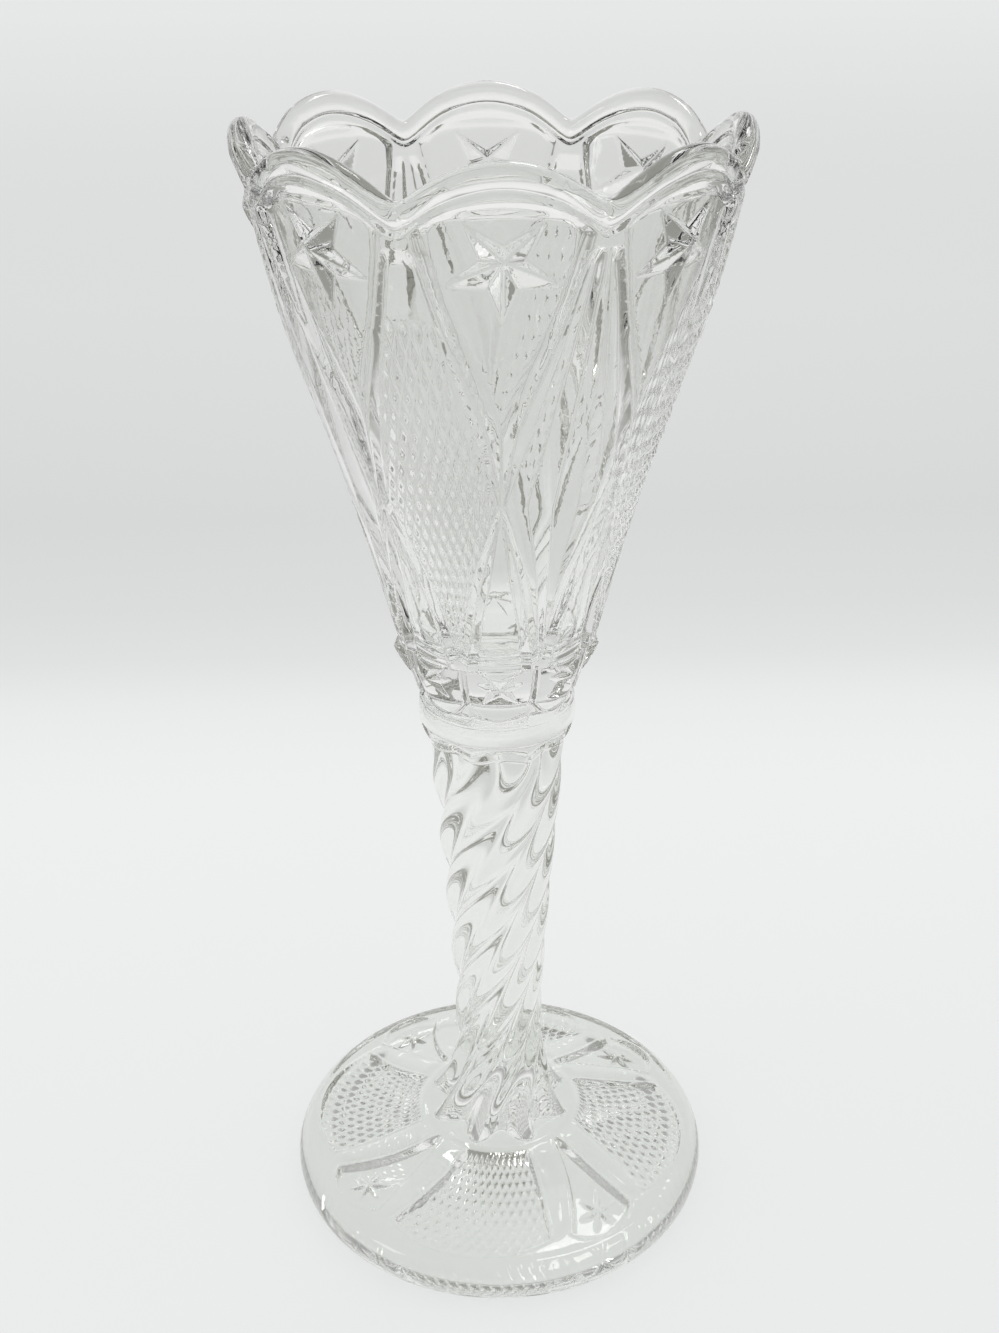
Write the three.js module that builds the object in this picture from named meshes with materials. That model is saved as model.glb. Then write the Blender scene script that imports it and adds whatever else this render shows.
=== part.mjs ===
// A chalice vase of clear pressed glass: a tapering bowl with a scalloped rim, a collar,
// a twisted stem with concave flutes, and a round foot. Millimetres, +Z up, and the
// origin is the middle of the underside.
import * as THREE from "three";

const { clamp, lerp, smoothstep, degToRad } = THREE.MathUtils;

// What repeats round the axis.
const LOBES = 8; // rim scallops, teardrop windows, lancets and tabs
const FLUTES = 8; // grooves of the stem
const FANS = 4; // hobnail fans on the foot, with a petal between each two

// Heights of the four pieces, which stand on each other.
const FOOT_HEIGHT = 17;
const STEM_LENGTH = 103.5;
const COLLAR_HEIGHT = 8.75;
const BOWL_HEIGHT = 120.75;

// Foot, from its edge to the flat seat that carries the stem.
const FOOT_RADIUS = 49.8;
const FOOT_EDGE_HEIGHT = 9.6;
const FOOT_EDGE_ROUND = 3.6; // how far the rounded edge reaches in over the top
const FOOT_BASE_ROUND = 2.6; // the same at the underside
const FOOT_BAND_WIDTH = 4.6; // plain ring round the pattern
const REST_RING_WIDTH = 3.2; // flat ring of the underside that the vase stands on
const RECESS_DEPTH = 1.2; // hollow of the underside inside that ring
const RECESS_SLOPE = 6;
const SEAT_MARGIN = 0.5; // flat of the seat that shows round the points of the stem
const FOOT_RELIEF = 0.8; // depth of the fans and petals below the bands between them
const FOOT_TURN = -13; // degrees from a rim lobe to the middle of a fan, at the foot's edge
const FOOT_SWIRL = 10; // degrees that the pattern turns on its way in to the stem
const PATTERN_START = 1; // from the seat to where the fans and petals start to sink
const PATTERN_FADE = 3; // length over which they reach their depth
const PATTERN_ROUND = 3.6; // how far their outer ends curve back at the corners
const PATTERN_SLOPE = 1.5; // width of the slope at their outer ends
const DOME_POWER = 1.4; // how late the top rises to the seat

// Where a fan ends and a petal starts, as shares of the way between their middles.
const FAN_INNER = 0.5;
const FAN_OUTER = 0.6;
const PETAL_INNER = 0.96;
const PETAL_OUTER = 0.7;

// Stem.
const STEM_TOP_RADIUS = 15.2;
const STEM_WAIST_RADIUS = 10.1;
const STEM_WAIST_HEIGHT = 28; // above the seat
const STEM_TIP_RADIUS = 17.2; // points of the star where the ridges meet the foot
const STEM_FLARE = 7.5; // height over which the points die away
const FLUTE_DEPTH = 1.8;
const STAR_DEPTH = 3.2; // how much deeper the flutes are between the points
const TWIST_STEPS = 6; // flutes that a ridge passes on its way up
const TWIST_EASE = 10; // straighter run at each end of the twist
const TAPER_POWER = 1.2; // how late the stem widens above its waist

// Collar.
const COLLAR_RADIUS = 17.1;
const COLLAR_BELLY = 6; // height of its widest place
const COLLAR_NECK = 0.7; // how far it draws in below the bowl
const ARCH_START = 1.2; // the flutes run on into it to arched heads, this high at the ridges
const ARCH_HEIGHT = 1.8; // how much higher the arches reach in the middle
const ARCH_SLOPE = 0.8; // height over which the ring stands out over them

// Bowl. Heights are above its flat underside.
const TAB_RADIUS = 19.1; // where the round tabs end and the straight wall starts
const TAB_HEIGHT = 5.75;
const TAB_EDGE_HEIGHT = 1.9; // lower edge of a tab, in its middle
const TAB_CORNER_HEIGHT = 7; // height of the corners between two tabs
const NOTCH_DEPTH = 1.2; // how far the wall draws in under the tabs
const NOTCH_SLOPE = 1.5;
const MOUTH_RADIUS = 48.9;
const WALL_SWELL = 0.9; // the wall bellies in low down and out above, by this much
const WALL = 4.6;
const LIP = 4.8; // thickness of the rounded lip
const SCALLOP_DROP = 7.2; // rim valleys lie this far below the lobes
const VALLEY_POWER = 16; // how sharply a valley is rounded
const FLOOR_HEIGHT = 13;
const FLOOR_ROUND = 7; // height of the rounded corner of the cavity
const CROSSING_HEIGHT = 55; // where the bands of the teardrops cross and the lancets start
const WINDOW_TIP_HEIGHT = 71; // lower point of the sunk window in a teardrop
const SHOULDER_BELOW_RIM = 16.5; // widest place of a teardrop
const WINDOW_BELOW_RIM = 8.2; // upper edge of the window
const WINDOW_SLOPE = 2; // height of the slope at that edge
const KITE_FOOT_HEIGHT = 22; // lower point of the kites between the lobes
const KITE_SLOPE = 4; // height of the slope at the upper end of a kite
const KITE_FADE = 8; // height over which a kite deepens above its lower point
const RELIEF = 1.3; // depth of the windows below the bands
const LANCET_RELIEF = 0.9; // depth of the lancets
const LANCET_FADE = 12; // height over which a lancet deepens below the crossing
const HOBNAIL_SINK = 0.5; // depth of the hobnail kites
const HOBNAIL_SLOPE = 0.25; // share of a kite's half width that slopes at its edge
const BLADE_SINK = 1.1; // depth of the grooves beside the blade of a plain kite

// Edges of the bands, as shares of the way from the middle of a lobe to a rim valley.
const CROSSING_INNER = 0.03;
const CROSSING_OUTER = 0.1;
const SHOULDER_INNER = 0.75;
const SHOULDER_OUTER = 0.88;
const TAB_INNER = 0.53;
const TAB_OUTER = 0.9;
const NARROWEST_BAND = 0.08;

// How finely the faces follow the shape.
const STEM_COLUMNS_PER_FLUTE = 8;
const STEM_ROWS = 30;
const WALL_ROWS = 24;
const RIM_FOLLOW = 0.7; // share of the wall above which its rows follow the rim
const INNER_ROWS = 5;
const FLOOR_STEPS = 3;
const LIP_STEPS = 6;
const COLLAR_ROWS = 10;
const FOOT_EDGE_STEPS = 10;
const FOOT_ROWS = 10;
const BESIDE = 0.05; // share from an edge of the foot's pattern to the next column

const HALF_LOBE = Math.PI / LOBES;
const HALF_FAN = Math.PI / FANS;
const BOWL_BASE_RADIUS = COLLAR_RADIUS - COLLAR_NECK;

// A point at an angle round the axis, a distance from it and a height.
function polar(angle, radius, height) {
  return new THREE.Vector3(radius * Math.cos(angle), radius * Math.sin(angle), height);
}

// A closed body whose skin runs through rings of points, from one point on the axis to
// another. Each ring goes round counter-clockwise, seen from above.
function loft(first, rings, last) {
  const columns = rings[0].length;
  const end = 1 + rings.length * columns;
  const faces = [];
  for (let k = 0; k < columns; k++) {
    const next = (k + 1) % columns;
    faces.push(0, 1 + next, 1 + k);
    for (let i = 0; i + 1 < rings.length; i++) {
      const low = 1 + i * columns;
      const high = low + columns;
      faces.push(low + k, low + next, high + next);
      faces.push(low + k, high + next, high + k);
    }
    faces.push(end - columns + k, end - columns + next, end);
  }
  const geometry = new THREE.BufferGeometry().setFromPoints([first, ...rings.flat(), last]);
  geometry.setIndex(faces);
  geometry.computeVertexNormals();
  return geometry;
}

// Angle, share and kite of each column of a pattern that repeats, mirrored about its
// middle. The steps are the shares, from 0 in the middle to 1 half way to the next one.
function columns(repeats, half, steps) {
  const mirrored = [...steps.slice(1, -1).map((s) => -s).reverse(), ...steps];
  return Array.from({ length: repeats }, (_, n) =>
    mirrored.map((share) => ({
      angle: (2 * n + share) * half,
      share: Math.abs(share),
      kite: share < 0 ? (n + repeats - 1) % repeats : n,
    })),
  ).flat();
}

// Bowl

// Height of the rim at a share of the way from a lobe to a valley: a parabola with a
// rounded valley.
function rimHeight(share) {
  const round = 2 / VALLEY_POWER;
  const drop = (share ** 2 - round * share ** VALLEY_POWER) / (1 - round);
  return BOWL_HEIGHT - SCALLOP_DROP * drop;
}

// Radius of the bowl's outside over the bands of its pattern.
function wallRadius(height) {
  if (height < TAB_HEIGHT) {
    const rise = 1 - height / TAB_HEIGHT;
    return lerp(BOWL_BASE_RADIUS, TAB_RADIUS, Math.sqrt(1 - rise ** 2));
  }
  const t = Math.min((height - TAB_HEIGHT) / (BOWL_HEIGHT - LIP - TAB_HEIGHT), 1);
  return lerp(TAB_RADIUS, MOUTH_RADIUS, t) - WALL_SWELL * Math.sin(2 * Math.PI * t);
}

// Shares of the way to the next lobe at which a band of the pattern starts and ends.
function bandEdges(height) {
  const shoulder = BOWL_HEIGHT - SHOULDER_BELOW_RIM;
  const up = clamp((height - CROSSING_HEIGHT) / (shoulder - CROSSING_HEIGHT), 0, 1);
  const window = clamp((height - WINDOW_TIP_HEIGHT) / (shoulder - WINDOW_TIP_HEIGHT), 0, 1);
  const down = clamp((CROSSING_HEIGHT - height) / (CROSSING_HEIGHT - KITE_FOOT_HEIGHT), 0, 1);
  const inside = lerp(CROSSING_INNER, down > 0 ? TAB_INNER : SHOULDER_INNER, down || window);
  const outside = lerp(CROSSING_OUTER, down > 0 ? TAB_OUTER : SHOULDER_OUTER, down || up);
  return [inside, Math.max(outside, inside + NARROWEST_BAND)];
}

// Depth of the pattern below the bands, at a share of the way from a lobe to a valley.
function bowlRelief(place, kite, height) {
  const [inner, outer] = bandEdges(height);
  const crest = (inner + outer) / 2;
  if (place <= crest) {
    const belowEdge = BOWL_HEIGHT - WINDOW_BELOW_RIM - height;
    const top = smoothstep(belowEdge, -WINDOW_SLOPE, 0);
    const window = RELIEF * smoothstep(height, CROSSING_HEIGHT, WINDOW_TIP_HEIGHT);
    const lancet = LANCET_RELIEF * smoothstep(CROSSING_HEIGHT - height, 0, LANCET_FADE);
    return top * (window + lancet) * Math.min((crest - place) / (crest - inner), 1);
  }
  const across = (place - crest) / (1 - crest);
  const top = smoothstep(BOWL_HEIGHT - LIP - height, 0, KITE_SLOPE);
  const foot = smoothstep(height, KITE_FOOT_HEIGHT, KITE_FOOT_HEIGHT + KITE_FADE);
  const hobnails = HOBNAIL_SINK * Math.min(across / HOBNAIL_SLOPE, 1);
  const blade = BLADE_SINK * Math.sin(Math.PI * across) ** 2;
  return (kite % 2 ? hobnails : blade) * top * foot;
}

// The notch between two tabs, under the curved lower edge of each.
function tabNotch(share, height) {
  const edge = lerp(TAB_EDGE_HEIGHT, TAB_CORNER_HEIGHT, share ** 2);
  const under = smoothstep(edge - height, -NOTCH_SLOPE / 2, NOTCH_SLOPE);
  return NOTCH_DEPTH * under * smoothstep(height, 0, NOTCH_SLOPE);
}

// Shares of the columns at a height: they follow the edges and the crest of the band.
function bowlShares(height) {
  const [inner, outer] = bandEdges(height);
  const rest = (part) => lerp(outer, 1, part);
  return [0, inner / 2, inner, (inner + outer) / 2, outer, rest(0.25), rest(0.5), rest(0.75), 1];
}

// One ring of the outer wall, at a part of the way from the underside to the lip.
function bowlOutside(part) {
  const level = part * (BOWL_HEIGHT - LIP);
  const follow = smoothstep(part, RIM_FOLLOW, 1);
  return columns(LOBES, HALF_LOBE, bowlShares(level)).map(({ angle, share, kite }) => {
    const rim = rimHeight(share);
    const height = level - follow * (BOWL_HEIGHT - rim);
    const sink = bowlRelief(share, kite, level) + tabNotch(share, height);
    return polar(angle, wallRadius(height) - sink, height);
  });
}

// The lip: half a circle over the rim, from outside to inside.
function bowlLip(turn) {
  return columns(LOBES, HALF_LOBE, bowlShares(BOWL_HEIGHT)).map(({ angle, share }) => {
    const centre = rimHeight(share) - LIP / 2;
    const radius = wallRadius(centre) - LIP / 2 + (LIP / 2) * Math.cos(turn);
    return polar(angle, radius, centre + (LIP / 2) * Math.sin(turn));
  });
}

// Radius of the smooth cavity, which rounds in to its floor.
function cavityRadius(height) {
  const round = clamp(1 - (height - FLOOR_HEIGHT) / FLOOR_ROUND, 0, 1);
  return (wallRadius(height) - WALL) * Math.sqrt(1 - round ** 2);
}

// One ring of the cavity, at a part of the way from the lip down to the rounded floor.
function bowlInside(part) {
  const corner = FLOOR_HEIGHT + FLOOR_ROUND;
  return columns(LOBES, HALF_LOBE, bowlShares(BOWL_HEIGHT)).map(({ angle, share }) => {
    const height = lerp(rimHeight(share) - LIP, corner, part);
    return polar(angle, cavityRadius(height), height);
  });
}

function floorRing(part) {
  const height = FLOOR_HEIGHT + FLOOR_ROUND * (1 - part) ** 2;
  return columns(LOBES, HALF_LOBE, bowlShares(BOWL_HEIGHT)).map(({ angle }) =>
    polar(angle, cavityRadius(height), height),
  );
}

// The numbers from/count to to/count, in even steps.
function spread(count, from = 0, to = count) {
  return Array.from({ length: to - from + 1 }, (_, k) => (from + k) / count);
}

function bowlGeometry() {
  const rings = [
    ...spread(WALL_ROWS).map(bowlOutside),
    ...spread(LIP_STEPS, 1).map((part) => bowlLip(Math.PI * part)),
    ...spread(INNER_ROWS, 1).map(bowlInside),
    ...spread(FLOOR_STEPS, 1, FLOOR_STEPS - 1).map(floorRing),
  ];
  return loft(polar(0, 0, 0), rings, polar(0, 0, FLOOR_HEIGHT));
}

// Stem

// Angle that the ridges have turned at a height: steady, and easing in and out.
function twist(height) {
  const total = (TWIST_STEPS * 2 * Math.PI) / FLUTES;
  const run = (x) => (x < TWIST_EASE ? x ** 2 / (2 * TWIST_EASE) : x - TWIST_EASE / 2);
  const whole = STEM_LENGTH - TWIST_EASE;
  const done = height < STEM_LENGTH / 2 ? run(height) : whole - run(STEM_LENGTH - height);
  return (total * done) / whole;
}

// Radius of the stem's ridges.
function ridgeRadius(height) {
  const flare = (STEM_TIP_RADIUS - STEM_WAIST_RADIUS) * Math.exp(-height / STEM_FLARE);
  const up = clamp((height - STEM_WAIST_HEIGHT) / (STEM_LENGTH - STEM_WAIST_HEIGHT), 0, 1);
  return STEM_WAIST_RADIUS + flare + (STEM_TOP_RADIUS - STEM_WAIST_RADIUS) * up ** TAPER_POWER;
}

// Depth of a rounded flute at a share of the way from its middle to a ridge.
function fluteDepth(share, height) {
  const star = STAR_DEPTH * Math.exp(-height / STEM_FLARE);
  return (FLUTE_DEPTH + star) * Math.cos((Math.PI / 2) * share) ** 2;
}

function stemColumns() {
  const half = STEM_COLUMNS_PER_FLUTE / 2;
  return columns(FLUTES, Math.PI / FLUTES, spread(half));
}

function stemRing(part) {
  const height = part * STEM_LENGTH;
  return stemColumns().map(({ angle, share }) =>
    polar(angle + twist(height), ridgeRadius(height) - fluteDepth(share, height), height),
  );
}

function stemGeometry() {
  const rings = spread(STEM_ROWS).map(stemRing);
  return loft(polar(0, 0, 0), rings, polar(0, 0, STEM_LENGTH));
}

// Collar

// It starts with the stem's own outline, and swells over the arched heads of the flutes
// into a ring that draws in again below the bowl.
function collarRing(part) {
  const height = part * COLLAR_HEIGHT;
  return stemColumns().map(({ angle, share }) => {
    const head = ARCH_START + ARCH_HEIGHT * (1 - share ** 2);
    const below = 1 - smoothstep(height, head - ARCH_SLOPE, head);
    const flute = STEM_TOP_RADIUS - fluteDepth(share, STEM_LENGTH);
    const rise = clamp(height / COLLAR_BELLY, 0, 1);
    const fall = clamp((height - COLLAR_BELLY) / (COLLAR_HEIGHT - COLLAR_BELLY), 0, 1);
    const belly = (COLLAR_RADIUS - STEM_TOP_RADIUS) * Math.sin((Math.PI / 2) * rise);
    const ring = STEM_TOP_RADIUS + belly - COLLAR_NECK * fall ** 2;
    return polar(angle, lerp(ring, flute, below), height);
  });
}

function collarGeometry() {
  const rings = spread(COLLAR_ROWS).map(collarRing);
  return loft(polar(0, 0, 0), rings, polar(0, 0, COLLAR_HEIGHT));
}

// Foot

const PATTERN_RADIUS = FOOT_RADIUS - FOOT_BAND_WIDTH;
const TOP_RADIUS = FOOT_RADIUS - FOOT_EDGE_ROUND;
const SEAT_RADIUS = STEM_TIP_RADIUS + SEAT_MARGIN;

// Part of the way from the seat to the outer end of the pattern.
function outward(radius) {
  return clamp((radius - SEAT_RADIUS) / (PATTERN_RADIUS - SEAT_RADIUS), 0, 1);
}

// Shares at which a fan ends and a petal begins: the petal widens from a point.
function footEdges(radius) {
  const out = outward(radius);
  return [lerp(FAN_INNER, FAN_OUTER, out), lerp(PETAL_INNER, PETAL_OUTER, out)];
}

function footRelief(share, radius) {
  const [fan, petal] = footEdges(radius);
  const inFan = share <= fan;
  if (!inFan && share < petal) {
    return 0;
  }
  const aside = inFan ? share / fan : (1 - share) / (1 - petal);
  const end = PATTERN_RADIUS - PATTERN_ROUND * aside ** 2;
  const start = SEAT_RADIUS + PATTERN_START;
  const sunk = smoothstep(end - radius, 0, PATTERN_SLOPE);
  return FOOT_RELIEF * sunk * smoothstep(radius, start, start + PATTERN_FADE);
}

// Height of the foot's top over the bands: a shallow dome up to the seat.
function footTop(radius) {
  const inner = clamp((TOP_RADIUS - radius) / (TOP_RADIUS - SEAT_RADIUS), 0, 1);
  return lerp(FOOT_EDGE_HEIGHT, FOOT_HEIGHT, inner ** DOME_POWER);
}

function footShares(radius) {
  const [fan, petal] = footEdges(radius);
  const across = [0, fan / 3, (2 * fan) / 3, fan, fan + BESIDE, petal - BESIDE, petal];
  return [...across, lerp(petal, 1, 1 / 3), lerp(petal, 1, 2 / 3), 1];
}

// The foot's pattern swirls a little from its edge in to the stem.
function footTurn(radius) {
  return degToRad(FOOT_TURN + FOOT_SWIRL * (1 - outward(radius)));
}

function footRing(radius, height, relief = 0) {
  return columns(FANS, HALF_FAN, footShares(radius)).map(({ angle, share }) =>
    polar(angle + footTurn(radius), radius, height - relief * footRelief(share, radius)),
  );
}

// The rounded edge, from the underside out and over to the top.
function footEdge(part) {
  const turn = lerp(-Math.PI / 2, Math.PI / 2, part);
  const round = turn < 0 ? FOOT_BASE_ROUND : FOOT_EDGE_ROUND;
  const middle = FOOT_EDGE_HEIGHT / 2;
  return footRing(FOOT_RADIUS - round * (1 - Math.cos(turn)), middle * (1 + Math.sin(turn)));
}

function footGeometry() {
  const recess = FOOT_RADIUS - FOOT_BASE_ROUND - REST_RING_WIDTH;
  const rings = [
    footRing(recess - RECESS_SLOPE, RECESS_DEPTH),
    footRing(recess, 0),
    ...spread(FOOT_EDGE_STEPS).map(footEdge),
    ...spread(FOOT_ROWS, 1).map((part) => {
      const radius = lerp(TOP_RADIUS, SEAT_RADIUS, part);
      return footRing(radius, footTop(radius), 1);
    }),
  ];
  return loft(polar(0, 0, RECESS_DEPTH), rings, polar(0, 0, FOOT_HEIGHT));
}

// The pieces, fused to each other at flat faces.
function glassPiece(name, geometry, base, colour) {
  const glass = new THREE.MeshStandardMaterial({
    color: colour,
    roughness: 0.04,
    metalness: 0,
    transparent: true,
    opacity: 0.4,
  });
  const mesh = new THREE.Mesh(geometry, glass);
  mesh.name = name;
  mesh.position.z = base;
  return mesh;
}

const STEM_BASE = FOOT_HEIGHT;
const COLLAR_BASE = STEM_BASE + STEM_LENGTH;
const BOWL_BASE = COLLAR_BASE + COLLAR_HEIGHT;

const group = new THREE.Group();
group.rotation.z = -Math.PI / 2; // one lobe faces the front, along -Y
group.add(glassPiece("foot", footGeometry(), 0, 0xe9edec));
group.add(glassPiece("stem", stemGeometry(), STEM_BASE, 0xe4e8e7));
group.add(glassPiece("collar", collarGeometry(), COLLAR_BASE, 0xe6eae9));
group.add(glassPiece("bowl", bowlGeometry(), BOWL_BASE, 0xeceff0));

export default group;
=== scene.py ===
"""A chalice vase of clear pressed glass, with the pressed pattern worked out round its frame.

Sizes in the numpy surfaces are millimetres. An angle of 0 degrees faces the front, along -Y,
and angles grow counter-clockwise, seen from above.
"""

import math

import bpy
import numpy as np
from mathutils import Matrix


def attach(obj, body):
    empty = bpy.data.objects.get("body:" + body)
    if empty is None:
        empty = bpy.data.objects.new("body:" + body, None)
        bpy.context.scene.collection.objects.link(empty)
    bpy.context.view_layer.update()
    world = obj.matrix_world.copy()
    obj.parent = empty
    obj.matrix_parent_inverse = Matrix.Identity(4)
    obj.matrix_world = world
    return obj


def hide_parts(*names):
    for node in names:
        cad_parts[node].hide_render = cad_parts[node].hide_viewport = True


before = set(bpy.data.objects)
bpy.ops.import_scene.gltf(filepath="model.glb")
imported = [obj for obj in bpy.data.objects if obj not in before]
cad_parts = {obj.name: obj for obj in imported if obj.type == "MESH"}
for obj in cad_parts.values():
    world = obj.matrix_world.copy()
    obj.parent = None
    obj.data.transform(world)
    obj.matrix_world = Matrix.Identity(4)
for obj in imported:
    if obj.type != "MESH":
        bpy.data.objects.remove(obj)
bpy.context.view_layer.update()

MM = 0.001
COLUMNS = 576  # points round each piece

# Heights of the pieces, one on the other.
FOOT_HEIGHT = 17.0
STEM_LENGTH = 103.5
COLLAR_HEIGHT = 8.75
BOWL_HEIGHT = 120.75
STEM_BASE = FOOT_HEIGHT
COLLAR_BASE = STEM_BASE + STEM_LENGTH
BOWL_BASE = COLLAR_BASE + COLLAR_HEIGHT

# Bowl. Heights are above its flat underside.
LOBES = 8
HALF_LOBE = 180 / LOBES
BASE_RADIUS = 16.4
TAB_RADIUS = 19.1
TAB_HEIGHT = 5.75
TAB_BLEND = 2.5
MOUTH_RADIUS = 48.9
WALL_SWELL = 0.9
WALL = 4.6
LIP = 4.8
SCALLOP_DROP = 7.2
VALLEY_POWER = 16
FLOOR_HEIGHT = 13.0
FLOOR_ROUND = 7.0
TOP_LEVEL = BOWL_HEIGHT - LIP / 2
FOLLOW_LEVEL = 103.0  # above this the rows follow the scallops
HOBNAIL_ROWS = (18.0, 90.0)  # heights between which the rows follow the hobnails
LIP_ROWS_START = 115.6
TAB_ROW_COUNT = 51
STAR_ROW_COUNT = 45
LIP_ROW_COUNT = 10
LIP_STEPS = 10  # rings over the lip
INSIDE_EVERY = 4  # the smooth inside has only every fourth column
INSIDE_START = 0.004  # share of the way down inside at which its first ring lies

# Lines of the bowl's pattern: heights, and the angle from the middle of a lobe at each.
CROSSING = 54.75
WINDOW_TIP = 70.75
TAB_TOP = 15.5
LINE_HEIGHTS = (TAB_HEIGHT, TAB_TOP, 18.0, 26.8, 37.2, CROSSING)
LANCET_EDGE = (13.0, 12.6, 12.0, 9.4, 4.5, 0.0)
LOWER_CREST = (20.6, 18.0, 17.2, 13.5, 8.6, 0.0)
LOWER_OUTER = (22.5, 22.5, 22.5, 17.6, 12.6, 0.9)
UPPER_HEIGHTS = (CROSSING, WINDOW_TIP, 78.5, 87.75, 96.0, 104.5, 109.0, 113.5)
WINDOW_EDGE = (0.0, 0.0, 4.2, 10.0, 13.9, 16.6, 17.0, 17.0)
UPPER_CREST = (0.0, 4.1, 7.7, 12.4, 15.5, 18.2, 19.2, 20.0)
UPPER_OUTER = (0.9, 8.3, 11.3, 14.9, 17.3, 19.8, 21.2, 22.5)
WINDOW_TOP = 112.2
WINDOW_TOP_SAG = 1.0  # by which its upper edge comes down towards its ends
WINDOW_TOP_ROUND = 3.0  # by which it is rounded down at them
WINDOW_DEPTH = 1.9
WINDOW_FRAME = 0.6  # depth of its frame under the lip
WINDOW_BEAD = 0.5  # rise of the fine bead along its outline
WINDOW_BEAD_WIDTH = 0.6  # to each side of its crest
WINDOW_BEAD_FADE = 8.0  # height above the tip over which it rises
LANCET_DEPTH = 1.6
LANCET_FADE = 14.0  # height under the crossing over which it is reached
KITE_DEPTH = 1.3
KITE_TOP = 106.0
KITE_TOP_FADE = 3.0  # height below it over which their relief ends
KITE_START = 17.0
KITE_START_FADE = 6.0  # height above it over which it starts
BLADE_START = 21.0  # height from which the lines of the blades are drawn
LEAST_WIDTH = 0.01  # degrees, taken where two lines of the pattern meet
LEAST_FRAME = 0.3  # height, taken where the frame has less
LIP_CREASE = 60.0  # degrees below its middle at which the lip ends in a crease
LIP_END = LIP / 2 * (1 + math.sin(math.radians(LIP_CREASE)))  # of the crease below the rim
LIP_GROOVE = 1.6  # height over which the wall comes out again below it

HOBNAILS = 96  # round the whole wall
HOBNAIL_ANGLE = 180 / HOBNAILS
HOBNAIL_SHARE = 0.108  # half its height, as a share of the wall's radius there
HOBNAIL_TOP = 93.0
HOBNAIL_TOP_FADE = 1.0
HOBNAIL_MARGIN = 0.5  # degrees over which they rise at a kite's edge
HOBNAIL_RISE = 1.0
ROWS_PER_HOBNAIL = 4
WALL_LEAN = (MOUTH_RADIUS - TAB_RADIUS) / (BOWL_HEIGHT - LIP - TAB_HEIGHT)  # out, per mm up
BLADE = (0.0, 0.22, 0.62, 1.0)  # from the middle of a plain kite to its edge
BLADE_DEPTHS = (0.1, 0.1, 1.6, 1.3)

STAR_MIDDLE = 104.6
STAR_RADIUS = 46.4  # of the wall there
STAR_RISE = 2.9
STAR_OUTLINE = ((7.1, 6.1), (0.0, 2.2), (-7.1, 6.1), (-4.1, -0.4), (-11.0, -5.3),
                (-2.8, -5.4), (0.0, -12.0), (2.8, -5.4), (11.0, -5.3), (4.1, -0.4))

TAB_MIDDLE = 12.2
TAB_STAR_RADIUS = TAB_RADIUS + 1.4  # of the wall there
TAB_RISE = 2.0
TAB_FACE = 0.6  # depth of its face
TAB_BULGE = 0.013  # by which the face curves back, per mm
TAB_SIDE = 20.4  # degrees from its middle at which the face starts to fall to its side
TAB_SIDE_WIDTH = 2.0  # degrees over which it does so
TAB_SIDE_DEPTH = 0.8
TAB_EDGE = (1.9, 7.0)  # height of its lower edge, in its middle and at its sides
TAB_NOTCH = 1.1  # depth of the notch under that edge
TAB_NOTCH_SLOPE = (-0.4, 0.8)  # from above the edge to below it
TAB_FADE = 1.5  # height above the underside over which the relief sets in
TAB_STEP = 0.3  # half the height over which it ends at TAB_TOP
TAB_OUTLINE = ((5.3, 0.1), (2.0, 1.0), (4.3, 3.0), (0.0, 1.5), (-4.3, 3.0), (-2.0, 1.0),
               (-5.3, 0.1), (-2.4, -1.5), (-4.0, -4.8), (0.0, -2.4), (4.0, -4.8), (2.4, -1.5))

# Stem and collar.
FLUTES = 8
HALF_FLUTE = 180 / FLUTES
STEM_TOP_RADIUS = 15.2
STEM_WAIST_RADIUS = 10.1
STEM_WAIST_HEIGHT = 28.0
STEM_TIP_RADIUS = 17.2
STEM_FLARE = 7.5
FLUTE_DEPTH = 1.8
STAR_DEPTH = 3.2
TWIST_STEPS = 6
TWIST_EASE = 10.0
TAPER_POWER = 1.2
STEM_STAR_ROWS = 12.0  # height up to which the rows are closer, over the star
COLLAR_RADIUS = 17.1
COLLAR_BELLY = 6.0
COLLAR_NECK = 0.7
COLLAR_CREASE = 4.9
COLLAR_GROOVE = 0.8
ARCH_START = 1.2
ARCH_HEIGHT = 1.8
ARCH_SLOPE = 0.5

# Foot.
FANS = 4
HALF_FAN = 180 / FANS
FOOT_RADIUS = 49.65
FOOT_EDGE_HEIGHT = 9.6
FOOT_EDGE_ROUND = 3.6
FOOT_BASE_ROUND = 2.6
FOOT_BAND_WIDTH = 4.4
REST_RING_WIDTH = 3.2
RECESS_DEPTH = 1.2
RECESS_SLOPE = 6.0
SEAT_MARGIN = 0.5
FOOT_RELIEF = 1.4
FOOT_TURN = -13.0
FOOT_SWIRL = 10.0
DOME_POWER = 1.4
PATTERN_RADIUS = FOOT_RADIUS - FOOT_BAND_WIDTH
TOP_RADIUS = FOOT_RADIUS - FOOT_EDGE_ROUND
SEAT_RADIUS = STEM_TIP_RADIUS + SEAT_MARGIN
FAN_EDGE = (0.50, 0.60)  # share of the way to a petal's middle, at the seat and outside
PETAL_EDGE = (0.96, 0.70)
PATTERN_ROUND = 3.6
LINE_START = 3.0  # distance from the seat at which the lines of the pattern start
FOOT_START = 1.0  # distance from the seat at which the relief starts
FOOT_FULL = 4.0  # and at which it is full
FOOT_ROWS = 74
FOOT_ROWS_PER_HOBNAIL = 12
FOOT_HOBNAIL_RISE = 0.75
FOOT_SLOPE = 1.0  # width of the slopes round fans and petals
FOOT_CROWN = 0.7  # how far the bands bulge between them
FOOT_CROWN_FADE = 2.0  # to each side of a fan's end
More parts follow.
